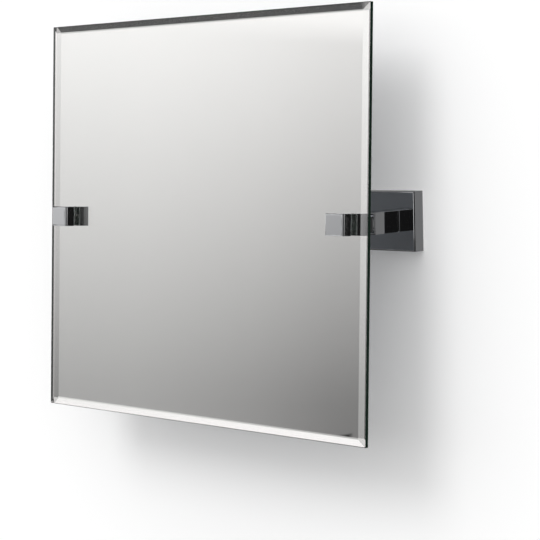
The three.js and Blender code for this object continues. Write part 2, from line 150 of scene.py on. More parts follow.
def float_glass(absorption, density):
    """Soda-lime float glass: clear through its thickness and dark green along its length."""
    material, tree = empty_material("float_glass")
    place = node(tree, "ShaderNodeTexCoord")
    # The film that a wiping cloth leaves, in arcs of a hand's reach.
    wipe = node(tree, "ShaderNodeTexNoise", {
        "Vector": place.outputs["Object"], "Scale": repeats(167 * MM), "Detail": 4.0, "Distortion": 1.2,
    })
    film = node(tree, "ShaderNodeMapRange", {
        "Value": wipe.outputs["Fac"], "From Min": 0.3, "From Max": 0.8, "To Min": 0.0, "To Max": 0.004,
    })
    shader = node(tree, "ShaderNodeBsdfPrincipled", {
        "Base Color": (1.0, 1.0, 1.0, 1.0), "Roughness": film.outputs["Result"], "IOR": GLASS_IOR,
        "Transmission Weight": 1.0,
    })
    body = node(tree, "ShaderNodeVolumeAbsorption", {"Color": absorption, "Density": density})
    node(tree, "ShaderNodeOutputMaterial", {
        "Surface": shader.outputs["BSDF"], "Volume": body.outputs["Volume"],
    })
    return material


def glass_edge(colour, absorption, density):
    """The glass's long side edges: dark green from outside, and clear to light already inside."""
    material, tree = empty_material("float_glass_edge")
    side = node(tree, "ShaderNodeNewGeometry")
    tint = node(tree, "ShaderNodeMix", {
        "Factor": side.outputs["Backfacing"], "A": colour, "B": (1.0, 1.0, 1.0, 1.0),
    }, data_type="RGBA")
    shader = node(tree, "ShaderNodeBsdfPrincipled", {
        "Base Color": tint.outputs["Result"], "Roughness": 0.0, "IOR": GLASS_IOR,
        "Transmission Weight": side.outputs["Backfacing"],
    })
    body = node(tree, "ShaderNodeVolumeAbsorption", {"Color": absorption, "Density": density})
    node(tree, "ShaderNodeOutputMaterial", {
        "Surface": shader.outputs["BSDF"], "Volume": body.outputs["Volume"],
    })
    return material


def silvering(colour):
    """Wet-deposited silver on the back of the glass: a perfect mirror with faintly dull patches."""
    material, tree = empty_material("silvering")
    place = node(tree, "ShaderNodeTexCoord")
    # The silver is sprayed on, and is a little thinner between the sprays.
    cloud = node(tree, "ShaderNodeTexNoise", {
        "Vector": place.outputs["Object"], "Scale": repeats(83.3 * MM), "Detail": 3.0,
    })
    tint = node(tree, "ShaderNodeMix", {
        "Factor": cloud.outputs["Fac"], "A": colour, "B": dimmed(colour, 0.985),
    }, data_type="RGBA")
    shader = node(tree, "ShaderNodeBsdfPrincipled", {
        "Base Color": tint.outputs["Result"], "Metallic": 1.0, "Roughness": 0.0,
    })
    node(tree, "ShaderNodeOutputMaterial", {"Surface": shader.outputs["BSDF"]})
    return material


def backing_paint(colour):
    """Curtain-coated grey backing paint: an even satin film with a light orange peel."""
    material, tree = empty_material("grey_backing_paint")
    place = node(tree, "ShaderNodeTexCoord")
    # Orange peel is 1 to 2 mm wide, and the thin streaks of the paint curtain about a hand's width.
    peel = node(tree, "ShaderNodeTexNoise", {
        "Vector": place.outputs["Object"], "Scale": repeats(1.43 * MM), "Detail": 2.0,
    })
    streak = node(tree, "ShaderNodeTexNoise", {
        "Vector": place.outputs["Object"], "Scale": repeats(111 * MM), "Detail": 4.0,
    })
    tint = node(tree, "ShaderNodeMix", {
        "Factor": streak.outputs["Fac"], "A": colour, "B": dimmed(colour, 0.88),
    }, data_type="RGBA")
    bump = node(tree, "ShaderNodeBump", {
        "Height": peel.outputs["Fac"], "Strength": 0.2, "Distance": 0.05 * MM,
    })
    shader = node(tree, "ShaderNodeBsdfPrincipled", {
        "Base Color": tint.outputs["Result"], "Roughness": 0.42, "Normal": bump.outputs["Normal"],
    })
    node(tree, "ShaderNodeOutputMaterial", {"Surface": shader.outputs["BSDF"]})
    return material


def die_cast_zinc(colour):
    """Zinc alloy as it comes from the die: dull grey with the skin of the mould."""
    material, tree = empty_material("die_cast_zinc")
    place = node(tree, "ShaderNodeTexCoord")
    # The mould's skin is finer than this, but would not show. The melt's flow marks are wider.
    skin = node(tree, "ShaderNodeTexNoise", {
        "Vector": place.outputs["Object"], "Scale": repeats(1.67 * MM), "Detail": 4.0,
    })
    flow = node(tree, "ShaderNodeTexNoise", {
        "Vector": place.outputs["Object"], "Scale": repeats(16.7 * MM), "Detail": 3.0, "Distortion": 0.8,
    })
    tint = node(tree, "ShaderNodeMix", {
        "Factor": flow.outputs["Fac"], "A": colour, "B": dimmed(colour, 0.75),
    }, data_type="RGBA")
    bump = node(tree, "ShaderNodeBump", {
        "Height": skin.outputs["Fac"], "Strength": 0.35, "Distance": 0.1 * MM,
    })
    shader = node(tree, "ShaderNodeBsdfPrincipled", {
        "Base Color": tint.outputs["Result"], "Metallic": 1.0, "Roughness": 0.48,
        "Normal": bump.outputs["Normal"],
    })
    node(tree, "ShaderNodeOutputMaterial", {"Surface": shader.outputs["BSDF"]})
    return material


def plated_steel(colour):
    """Zinc-plated steel screws: bright grey with the fine marks of cold heading."""
    material, tree = empty_material("zinc_plated_steel")
    place = node(tree, "ShaderNodeTexCoord")
    # The marks are finer than this, but would not show.
    marks = node(tree, "ShaderNodeTexNoise", {
        "Vector": place.outputs["Object"], "Scale": repeats(1.11 * MM), "Detail": 3.0,
    })
    gloss = node(tree, "ShaderNodeMapRange", {
        "Value": marks.outputs["Fac"], "From Min": 0.3, "From Max": 0.7, "To Min": 0.22, "To Max": 0.36,
    })
    tint = node(tree, "ShaderNodeMix", {
        "Factor": marks.outputs["Fac"], "A": colour, "B": dimmed(colour, 0.9),
    }, data_type="RGBA")
    shader = node(tree, "ShaderNodeBsdfPrincipled", {
        "Base Color": tint.outputs["Result"], "Metallic": 1.0, "Roughness": gloss.outputs["Result"],
    })
    node(tree, "ShaderNodeOutputMaterial", {"Surface": shader.outputs["BSDF"]})
    return material


def moulded_nylon(colour):
    """Natural moulded nylon: milky white with a fine matt skin."""
    material, tree = empty_material("moulded_nylon")
    place = node(tree, "ShaderNodeTexCoord")
    # The matt skin is finer than this, but would not show.
    skin = node(tree, "ShaderNodeTexNoise", {
        "Vector": place.outputs["Object"], "Scale": repeats(0.83 * MM), "Detail": 2.0,
    })
    tint = node(tree, "ShaderNodeMix", {
        "Factor": skin.outputs["Fac"], "A": colour, "B": dimmed(colour, 0.94),
    }, data_type="RGBA")
    bump = node(tree, "ShaderNodeBump", {
        "Height": skin.outputs["Fac"], "Strength": 0.2, "Distance": 0.03 * MM,
    })
    shader = node(tree, "ShaderNodeBsdfPrincipled", {
        "Base Color": tint.outputs["Result"], "Roughness": 0.5, "IOR": PLASTIC_IOR,
        "Normal": bump.outputs["Normal"],
    })
    node(tree, "ShaderNodeOutputMaterial", {"Surface": shader.outputs["BSDF"]})
    return material


def clear_vinyl(colour):
    """Soft clear PVC pads, pressed thin: a cloudy film between the glass and the metal."""
    material, tree = empty_material("clear_soft_vinyl")
    place = node(tree, "ShaderNodeTexCoord")
    cloud = node(tree, "ShaderNodeTexNoise", {
        "Vector": place.outputs["Object"], "Scale": repeats(3.33 * MM), "Detail": 2.0,
    })
    gloss = node(tree, "ShaderNodeMapRange", {
        "Value": cloud.outputs["Fac"], "From Min": 0.3, "From Max": 0.7, "To Min": 0.15, "To Max": 0.3,
    })
    shader = node(tree, "ShaderNodeBsdfPrincipled", {
        "Base Color": colour, "Roughness": gloss.outputs["Result"], "IOR": PLASTIC_IOR,
        "Transmission Weight": 0.6,
    })
    node(tree, "ShaderNodeOutputMaterial", {"Surface": shader.outputs["BSDF"]})
    return material


# ---------------------------------------------------------------- meshes

SAME_POINT = 0.002 * MM
STILL_FLAT = math.radians(0.4)
# A convex edge is rounded where it turns by more than this, is at least this long, and has no
# face beside it that is smaller than this.
SHARP_TURN = math.radians(20)
SHORTEST_ROUNDED = 4 * MM
SMALLEST_ROUNDED = 4 * MM * MM
# A face beside an edge has to be this wide for the edge's full radius.
FULL_RADIUS_FACE = 1.5 * MM
EDGE_SEGMENTS = 3


def merged_mesh(source):
    """A CAD node's mesh as a bmesh with its loose triangles joined and its flat faces made whole."""
    shape = bmesh.new()
    shape.from_mesh(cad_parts[source].data)
    bmesh.ops.remove_doubles(shape, verts=shape.verts, dist=SAME_POINT)
    bmesh.ops.dissolve_limit(shape, angle_limit=STILL_FLAT, verts=shape.verts, edges=shape.edges)
    shape.normal_update()
    return shape


def outward_normal(source):
    """The direction square to a node's largest face, away from the wall."""
    shape = merged_mesh(source)
    normal = max(shape.faces, key=lambda face: face.calc_area()).normal.copy()
    shape.free()
    return normal if normal.y < 0 else -normal


def new_piece(name, shape, materials, smooth_below=25):
    """An object at the origin from a bmesh. Faces that meet below this angle are smooth."""
    mesh = bpy.data.meshes.new(name)
    shape.to_mesh(mesh)
    shape.free()
    for material in materials:
        mesh.materials.append(material)
    mesh.polygons.foreach_set("use_smooth", [True] * len(mesh.polygons))
    mesh.set_sharp_from_angle(angle=math.radians(smooth_below))
    piece = bpy.data.objects.new(name, mesh)
    bpy.context.scene.collection.objects.link(piece)
    return piece


def mark_outer_edges(shape):
    """Gives a bevel weight to the long convex edges, less where a face beside them is narrow."""
    weights = shape.edges.layers.float.get("bevel_weight_edge")
    if weights is None:
        weights = shape.edges.layers.float.new("bevel_weight_edge")
    for edge in shape.edges:
        length = edge.calc_length()
        if len(edge.link_faces) != 2 or length < SHORTEST_ROUNDED:
            continue
        angle = edge.calc_face_angle_signed(0.0)
        area = min(face.calc_area() for face in edge.link_faces)
        if angle > SHARP_TURN and area > SMALLEST_ROUNDED:
            edge[weights] = min(1.0, area / length / FULL_RADIUS_FACE)


def soften(piece, width):
    """Rounds the marked edges by a few tenths of a millimetre and keeps the flats flat."""
    bevel = piece.modifiers.new("polished_edges", "BEVEL")
    bevel.limit_method = "WEIGHT"
    bevel.width = width
    bevel.segments = EDGE_SEGMENTS
    bevel.harden_normals = True
    bevel.use_clamp_overlap = True


# ---------------------------------------------------------------- screw threads

# Straight steps in one turn of a thread.
THREAD_STEPS = 20
# A metric thread's depth, and the radius of the three-cornered ridge, as shares of its pitch.
THREAD_DEPTH_SHARE = 0.6
THREAD_RIDGE_SHARE = 0.5
# Corners this far out, as shares of a screw's radius, belong to its shank.
SHANK_FROM = 0.7
SHANK_TO = 1.01
SHANK_END_GIVE = 0.01 * MM


def thread_tree():
    """Geometry Nodes: a helical ridge that starts at each point and follows the point's axis."""
    tree = bpy.data.node_groups.new("screw_thread", "GeometryNodeTree")
    for name, kind in (
        ("Tips", "NodeSocketGeometry"),
        ("Radius", "NodeSocketFloat"),
        ("Pitch", "NodeSocketFloat"),
        ("Length", "NodeSocketFloat"),
        ("Material", "NodeSocketMaterial"),
    ):
        tree.interface.new_socket(name, in_out="INPUT", socket_type=kind)
    tree.interface.new_socket("Threads", in_out="OUTPUT", socket_type="NodeSocketGeometry")
    given = node(tree, "NodeGroupInput").outputs
    turns = node(tree, "ShaderNodeMath", {0: given["Length"], 1: given["Pitch"]}, operation="DIVIDE")
    half = node(
        tree, "ShaderNodeMath", {0: given["Pitch"], 1: THREAD_RIDGE_SHARE}, operation="MULTIPLY",
    )
    middle = node(tree, "ShaderNodeMath", {0: given["Radius"], 1: half.outputs[0]}, operation="SUBTRACT")
    helix = node(tree, "GeometryNodeCurveSpiral", {
        "Resolution": THREAD_STEPS, "Rotations": turns.outputs[0],
        "Start Radius": middle.outputs[0], "End Radius": middle.outputs[0], "Height": given["Length"],
    })
    level = node(tree, "GeometryNodeSetCurveNormal", {"Curve": helix.outputs["Curve"]}, mode="Z_UP")
    section = node(tree, "GeometryNodeCurvePrimitiveCircle", {"Resolution": 3, "Radius": half.outputs[0]})
    crest_out = node(tree, "GeometryNodeTransform", {
        "Geometry": section.outputs["Curve"], "Rotation": (0.0, 0.0, math.pi),
    })
    ridge = node(tree, "GeometryNodeCurveToMesh", {
        "Curve": level.outputs["Curve"], "Profile Curve": crest_out.outputs["Geometry"], "Fill Caps": True,
    })
    axis = node(tree, "GeometryNodeInputNamedAttribute", {"Name": "axis"}, data_type="FLOAT_VECTOR")
    turn = node(
        tree, "FunctionNodeAlignRotationToVector", {"Vector": axis.outputs["Attribute"]}, axis="Z",
    )
    copies = node(tree, "GeometryNodeInstanceOnPoints", {
        "Points": given["Tips"], "Instance": ridge.outputs["Mesh"], "Rotation": turn.outputs["Rotation"],
    })
    whole = node(tree, "GeometryNodeRealizeInstances", {"Geometry": copies.outputs["Instances"]})
    coated = node(tree, "GeometryNodeSetMaterial", {
        "Geometry": whole.outputs["Geometry"], "Material": given["Material"],
    })
    node(tree, "NodeGroupOutput", {"Threads": coated.outputs["Geometry"]})
    return tree


def thread_mesh(tree, tip, axis, sizes):
    """The tree's ridge as a plain mesh, for one screw. "sizes" holds the tree's inputs by name."""
    seed = bpy.data.meshes.new("thread_start")
    seed.from_pydata([tip], [], [])
    seed.attributes.new("axis", "FLOAT_VECTOR", "POINT").data[0].vector = axis
    carrier = bpy.data.objects.new("thread_start", seed)
    bpy.context.scene.collection.objects.link(carrier)
    modifier = carrier.modifiers.new("screw_thread", "NODES")
    modifier.node_group = tree
    for item in tree.interface.items_tree:
        if item.name in sizes:
            modifier[item.identifier] = sizes[item.name]
    evaluated = carrier.evaluated_get(bpy.context.evaluated_depsgraph_get())
    mesh = bpy.data.meshes.new_from_object(evaluated)
    carrier.modifiers.remove(modifier)
    bpy.data.objects.remove(carrier)
    return mesh


def screw_line(shape, axis):
    """A turned piece's tip and its length. "axis" points from the tip to the head."""
    across = axis.orthogonal().normalized()
    middle = Vector()
    for direction in (across, axis.cross(across)):
        reach = [vert.co.dot(direction) for vert in shape.verts]
        middle += direction * (min(reach) + max(reach)) / 2
    along = [vert.co.dot(axis) for vert in shape.verts]
    return middle + axis * min(along), max(along) - min(along)


def cut_to_root(shape, tip, axis, radius, pitch, length):
    """Takes a screw's shank down to the root of its thread, as far as the thread runs."""
    share = 1.0 - THREAD_DEPTH_SHARE * pitch / radius
    for vert in shape.verts:
        along = (vert.co - tip).dot(axis)
        centre = tip + axis * along
        out = vert.co - centre
        on_shank = SHANK_FROM * radius < out.length < SHANK_TO * radius
        if on_shank and along < length + SHANK_END_GIVE:
            vert.co = centre + out * share


# ---------------------------------------------------------------- settings

class GlassSettings(bpy.types.PropertyGroup):
    absorption: FloatVectorProperty(
        name="Glass colour", description="What the glass lets through over a long way",
        subtype="COLOR", size=4, min=0.0, max=1.0, default=(0.0, 0.62, 0.36, 1.0),
    )
    density: FloatProperty(
        name="Glass depth of colour", description="How fast the glass darkens, per metre",
        default=10.0, min=0.0,
    )
    edge: FloatVectorProperty(
        name="Glass edge", description="Colour of the long side edges, seen from outside",
        subtype="COLOR", size=4, min=0.0, max=1.0, default=linear(0x12231A),
    )
    silver: FloatVectorProperty(
        name="Silver", description="Colour of the silvering", subtype="COLOR", size=4,
        min=0.0, max=1.0, default=linear(0xF9EFF1),
    )
    paint: FloatVectorProperty(
        name="Backing paint", description="Colour of the paint behind the silver",
        subtype="COLOR", size=4, min=0.0, max=1.0, default=linear(0x6F7276),
    )


class MetalSettings(bpy.types.PropertyGroup):
    chrome: FloatVectorProperty(
        name="Chrome", description="Colour of the chrome plate", subtype="COLOR", size=4,
        min=0.0, max=1.0, default=linear(0xCBCCCE),
    )
    chrome_roughness: FloatProperty(
        name="Chrome roughness", description="Roughness of the polished chrome",
        default=0.02, min=0.0, max=1.0,
    )
    edge_radius: FloatProperty(
        name="Edge radius", description="Rounding of the polished edges", subtype="DISTANCE",
        unit="LENGTH", default=0.4 * MM, min=0.0,
    )
    zinc: FloatVectorProperty(
        name="Cast zinc", description="Colour of the wall brackets", subtype="COLOR", size=4,
        min=0.0, max=1.0, default=linear(0xA9ABAD),
    )
    steel: FloatVectorProperty(
        name="Screw steel", description="Colour of the plated screws", subtype="COLOR", size=4,
        min=0.0, max=1.0, default=linear(0xC0C1C3),
    )
    coarse_pitch: FloatProperty(
        name="Pitch of the 6 mm screws", description="Distance between the turns of their thread",
        subtype="DISTANCE", unit="LENGTH", default=1.0 * MM, min=0.1 * MM,
    )
    fine_pitch: FloatProperty(
        name="Pitch of the 5 mm screws", description="Distance between the turns of their thread",
        subtype="DISTANCE", unit="LENGTH", default=0.8 * MM, min=0.1 * MM,
    )


class PlasticSettings(bpy.types.PropertyGroup):
    nylon: FloatVectorProperty(
        name="Nylon", description="Colour of the washers and bushes", subtype="COLOR", size=4,
        min=0.0, max=1.0, default=linear(0xE9E6DE),
    )
    vinyl: FloatVectorProperty(
        name="Vinyl pads", description="Colour of the clear pads", subtype="COLOR", size=4,
        min=0.0, max=1.0, default=linear(0xDDE3E1),
    )


class StageSettings(bpy.types.PropertyGroup):
    ambient: FloatProperty(
        name="Soft light", description="Level of the soft light at the height of the mirror",
        default=0.923, min=0.0,
    )
    key: FloatProperty(
        name="Key light", description="Strength of the broad light from the front and above",
        default=0.784, min=0.0,
    )
    key_spread: FloatProperty(
        name="Key light spread", description="How wide the key light is seen from the mirror",
        subtype="ANGLE", unit="ROTATION", default=math.radians(27),
    )
    wall: FloatVectorProperty(
        name="Wall and floor", description="Colour of the wall and the floor", subtype="COLOR",
        size=4, min=0.0, max=1.0, default=linear(0xF4F4F4),
    )
    floor_drop: FloatProperty(
        name="Floor below hinges", description="How far the floor lies below the hinges",
        subtype="DISTANCE", unit="LENGTH", default=0.62, min=0.0,
    )
    lens: FloatProperty(
        name="Lens", description="Focal length of the camera in millimetres",
        subtype="DISTANCE_CAMERA", unit="CAMERA", default=106.09, min=1.0,
    )


SETTINGS = {
    "mirror_glass": GlassSettings,
    "mirror_metal": MetalSettings,
    "mirror_plastic": PlasticSettings,
    "mirror_stage": StageSettings,
}


# ---------------------------------------------------------------- the mirror itself

# Only the ground sides of the glass are larger than this and look left or right.
LONG_SIDE_AREA = 100 * MM * MM


class MIRROR_OT_glass(bpy.types.Operator):
    """Make the bevelled glass pane"""
    bl_idname = "mirror.glass"
    bl_label = "Glass pane"

    def execute(self, context):
        settings = context.scene.mirror_glass
        glass = float_glass(settings.absorption, settings.density)
        edge = glass_edge(settings.edge, settings.absorption, settings.density)
        shape = merged_mesh("glass_pane")
        for face in shape.faces:
            on_side = abs(face.normal.x) > 0.5 and face.calc_area() > LONG_SIDE_AREA
            face.material_index = 1 if on_side else 0
        pane = new_piece("bevelled_glass_pane", shape, [glass, edge], smooth_below=5)
        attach(pane, MIRROR_BODY)
        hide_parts("glass_pane")
        return {"FINISHED"}


class MIRROR_OT_silvering(bpy.types.Operator):
    """Make the silver layer, with its paint on the wall side"""
    bl_idname = "mirror.silvering"
    bl_label = "Silvering"

    def execute(self, context):
        settings = context.scene.mirror_glass
        shape = merged_mesh("silver_backing")
        for face in shape.faces:
            face.material_index = 0 if face.normal.y < -0.9 else 1
        layers = [silvering(settings.silver), backing_paint(settings.paint)]
        layer = new_piece("silvering_and_paint", shape, layers, smooth_below=5)
        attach(layer, MIRROR_BODY)
        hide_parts("silver_backing")
        return {"FINISHED"}


class MIRROR_OT_chrome(bpy.types.Operator):
    """Make the polished wall plates, arms, hinges and clamps"""
    bl_idname = "mirror.chrome"
    bl_label = "Chrome pieces"

    def execute(self, context):
        settings = context.scene.mirror_metal
        chrome = polished_chrome(tuple(settings.chrome), settings.chrome_roughness)
        # Part of the name, the body it rides on, and the share of the full edge radius.
        kinds = (
            ("wall_plate", WALL_BODY, 0.6),
            ("arm", WALL_BODY, 0.6),
            ("arm_tongue", WALL_BODY, 0.6),
            ("rear_clamp_block", MIRROR_BODY, 0.6),
            ("front_clamp_block", MIRROR_BODY, 0.6),
            ("front_cover_cap", MIRROR_BODY, 1.0),
        )
        for side in SIDES:
            for kind, body, share in kinds:
                source = f"{side}_{kind}"
                shape = merged_mesh(source)
                mark_outer_edges(shape)
                piece = new_piece(f"{source}_polished", shape, [chrome])
                soften(piece, settings.edge_radius * share)
                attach(piece, body)
                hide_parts(source)
        return {"FINISHED"}


class MIRROR_OT_threads(bpy.types.Operator):
    """Make the threaded screws of the arms, the wall plates and the clamps"""
    bl_idname = "mirror.threads"
    bl_label = "Threaded screws"

    def execute(self, context):
        settings = context.scene.mirror_metal
        steel = plated_steel(tuple(settings.steel))
        tree = thread_tree()
        leaning = outward_normal("glass_pane")
        # Part of the name, body, direction from tip to head, radius, pitch and height of the head.
        kinds = (
            ("arm_screw", WALL_BODY, Vector((0, 1, 0)), 3.0 * MM, settings.coarse_pitch, 2.6 * MM),
            ("grub_screw", WALL_BODY, Vector((0, 0, -1)), 2.5 * MM, settings.fine_pitch, 0.5 * MM),
            ("clamp_screw", MIRROR_BODY, leaning, 3.0 * MM, settings.coarse_pitch, 5.0 * MM),
        )
        for side in SIDES:
            for kind, body, axis, radius, pitch, head in kinds:
                source = f"{side}_{kind}"
                shape = merged_mesh(source)
                tip, length = screw_line(shape, axis)
                cut_to_root(shape, tip, axis, radius, pitch, length - head)
                thread = thread_mesh(tree, tip + axis * pitch / 2, axis, {
                    "Radius": radius, "Pitch": pitch, "Length": length - head - pitch, "Material": steel,
                })
                shape.from_mesh(thread)
                bmesh.ops.recalc_face_normals(shape, faces=shape.faces)
                piece = new_piece(f"{source}_threaded", shape, [steel], smooth_below=35)
                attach(piece, body)
                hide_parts(source)
        return {"FINISHED"}


class MIRROR_OT_fittings(bpy.types.Operator):
    """Give the brackets, screws, washers, bushes and pads their finishes"""
    bl_idname = "mirror.fittings"
    bl_label = "Brackets, screws and pads"

    def execute(self, context):
        metal = context.scene.mirror_metal
        plastic = context.scene.mirror_plastic
        zinc = die_cast_zinc(tuple(metal.zinc))
        steel = plated_steel(tuple(metal.steel))
        nylon = moulded_nylon(tuple(plastic.nylon))
        vinyl = clear_vinyl(tuple(plastic.vinyl))
        finishes = {
            "wall_bracket": zinc,
            "wall_screw_upper": steel,
            "wall_screw_lower": steel,
            "pivot_bolt": steel,
            "spring_washer": steel,
            "friction_washer_inner": nylon,
            "friction_washer_outer": nylon,
            "glass_hole_bush": nylon,
            "rear_pad": vinyl,
            "front_pad": vinyl,
        }
        for side in SIDES:
            for kind, material in finishes.items():
                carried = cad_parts[f"{side}_{kind}"]
                carried.data.materials.clear()
                carried.data.materials.append(material)
        return {"FINISHED"}


# ---------------------------------------------------------------- the stage

# The camera was fitted to the photograph's outlines: place in metres, then turns in degrees.
CAMERA_PLACE = (1.06614, -1.22062, 0.09712)
CAMERA_AZIMUTH = 40.519
CAMERA_ELEVATION = 3.554
CAMERA_ROLL = -1.356
CAMERA_SHIFT_UP = -0.0944
SENSOR_WIDTH = 36.0
CLIP_START = 0.05
CLIP_END = 50.0


def direction_to(azimuth, elevation):
    """A unit vector, from an azimuth to the right of straight out and an elevation, in radians."""
    return Vector((
        math.sin(azimuth) * math.cos(elevation),
        -math.cos(azimuth) * math.cos(elevation),
        math.sin(elevation),
    ))


def camera_matrix():
    """The camera's place and turn in the room."""
    azimuth, elevation, roll = map(
        math.radians, (CAMERA_AZIMUTH, CAMERA_ELEVATION, CAMERA_ROLL),
    )
    back = direction_to(azimuth, elevation)
    level = Vector((math.cos(azimuth), math.sin(azimuth), 0.0))
    upright = back.cross(level)
    right = level * math.cos(roll) + upright * math.sin(roll)
    up = upright * math.cos(roll) - level * math.sin(roll)
    turn = Matrix((right, up, back)).transposed().to_4x4()
    return Matrix.Translation(CAMERA_PLACE) @ turn


def plain_sheet(name, corners, material):
    """A flat four-cornered stage sheet."""
    mesh = bpy.data.meshes.new(name)
    mesh.from_pydata(corners, [], [(0, 1, 2, 3)])
    mesh.materials.append(material)
    sheet = bpy.data.objects.new(name, mesh)
    bpy.context.scene.collection.objects.link(sheet)
    return sheet


def seen_by(tree, *rays):
    """One where the ray is of one of these kinds, and nought elsewhere."""
    path = node(tree, "ShaderNodeLightPath")
    total = path.outputs[rays[0]]
    for ray in rays[1:]:
        total = node(tree, "ShaderNodeMath", {0: total, 1: path.outputs[ray]}, operation="ADD").outputs[0]
    return total


# How bright the wall is: a glow added to what the camera sees of it, and the painted reflection of it that
# metal near and far sees.
WALL_LIFT = 0.148
WALL_REFLECTION_NEAR_METAL = 0.27
WALL_REFLECTION_FAR_FROM_METAL = 0.05
# Up to the first distance metal counts as near the wall, and from the second on as far.
NEAR_METAL = 66 * MM
FAR_METAL = 70 * MM
LIES_ON_WALL = 1.0 * MM
# How brightly the sheet of painted shade over the gap glows, as the metal sees it.
GAP_SHADE_LEVEL = 0.2


def painted_wall(colour):
    """Matt white wall, seen from the room only. From behind and for light it isn't there.

    The camera sees its shadows a little lifted. Metal sees a painted reflection of it, a flat glow that is
    grey where the metal stands close to it and dark where it stands farther out, as in the photograph.
    What lies on it doesn't see it.
    """
    material, tree = empty_material("matt_white_wall")
    paint = node(tree, "ShaderNodeBsdfDiffuse", {"Color": colour})
    lift = node(tree, "ShaderNodeEmission", {"Color": colour, "Strength": WALL_LIFT})
    lifted = node(tree, "ShaderNodeAddShader", {0: paint.outputs["BSDF"], 1: lift.outputs["Emission"]})
    distance = node(tree, "ShaderNodeLightPath").outputs["Ray Length"]
    reach = node(tree, "ShaderNodeMapRange", {
        "Value": distance, "From Min": NEAR_METAL, "From Max": FAR_METAL,
        "To Min": WALL_REFLECTION_NEAR_METAL, "To Max": WALL_REFLECTION_FAR_FROM_METAL,
    })
    # Painted reflection: metal sees the wall as a flat glow, grey when near and dark when far, whatever
    # its light and shadow.
    painted_reflection = node(tree, "ShaderNodeEmission", {"Color": colour, "Strength": reach.outputs["Result"]})
    shown = node(tree, "ShaderNodeMixShader", {
        0: seen_by(tree, "Is Glossy Ray"), 1: lifted.outputs["Shader"], 2: painted_reflection.outputs["Emission"],
    })
    clear = node(tree, "ShaderNodeBsdfTransparent")
    side = node(tree, "ShaderNodeNewGeometry")
    front = node(tree, "ShaderNodeMath", {0: 1.0, 1: side.outputs["Backfacing"]}, operation="SUBTRACT")
    away = node(tree, "ShaderNodeMath", {0: distance, 1: LIES_ON_WALL}, operation="GREATER_THAN")
    seen = seen_by(tree, "Is Camera Ray", "Is Glossy Ray", "Is Transmission Ray")
    for part in (front, away):
        seen = node(
            tree, "ShaderNodeMath", {0: seen, 1: part.outputs[0]}, operation="MULTIPLY", use_clamp=True,
        ).outputs[0]
    mix = node(tree, "ShaderNodeMixShader", {
        0: seen, 1: clear.outputs["BSDF"], 2: shown.outputs["Shader"],
    })
    node(tree, "ShaderNodeOutputMaterial", {"Surface": mix.outputs["Shader"]})
    return material


def painted_gap_shade():
    """A painted dark reflection: a faintly glowing sheet that the metal sees in place of the shade over
    the gap between the mirror and the wall.
    """
    material, tree = empty_material("painted_gap_shade")
    painted_reflection = node(tree, "ShaderNodeEmission", {"Strength": GAP_SHADE_LEVEL})
    node(tree, "ShaderNodeOutputMaterial", {"Surface": painted_reflection.outputs["Emission"]})
    return material


def pale_floor(colour):
    """Matt pale floor, for the camera only."""
    material, tree = empty_material("matt_pale_floor")
    paint = node(tree, "ShaderNodeBsdfDiffuse", {"Color": colour})
    node(tree, "ShaderNodeOutputMaterial", {"Surface": paint.outputs["BSDF"]})
    return material


# What the metal and the glass see of the room, by elevation in degrees. It rises from a dim
# skirting to a bright ceiling, as the photograph's mirror shows between -6 and 10 degrees.
ROOM_BY_ELEVATION = (
    (-90, 0.70), (-30, 0.70), (-17, 0.55), (-12, 0.30), (-9, 0.32), (-6.6, 0.40), (-5.4, 0.4125),
    (0, 0.644), (7, 0.955), (8.2, 1.0), (9, 1.0), (11.5, 0.96), (20, 1.0), (90, 1.0),
)
# How that is changed by azimuth, where 0 is straight out from the wall and 90 is to the right.
# 1 leaves it as it is. The room is dark behind the camera, but for three narrow gaps, which the
# upright chamfers and edges on the right look at.
ROOM_BY_AZIMUTH = (
    (-180, 1.0), (-80, 1.0), (-72, 0.97), (-60, 1.0), (-48, 1.0), (-44.8, 0.988), (-41.2, 0.915),
    (-37.6, 0.81), (-36, 0.79), (-31, 0.88), (-27.4, 0.91), (-20, 0.97), (20, 0.97),
    (30, 0.0), (40.7, 0.0), (41.2, 0.9), (42.5, 0.9), (43, 0.0), (45.6, 0.0), (46.0, 0.8),
    (46.5, 0.8), (46.9, 0.0), (50.8, 0.0), (51.2, 0.7), (53.4, 0.7), (53.8, 0.0), (54, 0.0),
    (60, 0.45), (66, 0.68), (100, 1.0), (180, 1.0),
)
ROOM_GAIN = 1.16
DARKEST = 0.015
# Azimuth counts below the first of these elevations, in degrees, and no longer above the second.
CEILING_STARTS = (7.4, 8.2)
# The soft light is twice as strong from straight above as from the side, and weak from below.
LIGHT_FROM_BELOW = 0.325
HORIZON_BLUR = 0.02
# A dark edge low on the left, which only the glass's upper bevel looks at. Its upper side slopes
# with azimuth: elevation = DARK_EDGE_HEIGHT + DARK_EDGE_SLOPE * azimuth, in degrees. Its lower
# side and its right side fade out between two angles.
DARK_EDGE_HEIGHT = 0.15
DARK_EDGE_BLUR = 0.05
DARK_EDGE_SLOPE = 0.18
DARK_EDGE_FOOT = (-19, -15)
DARK_EDGE_END = (-37.3, -37.1)


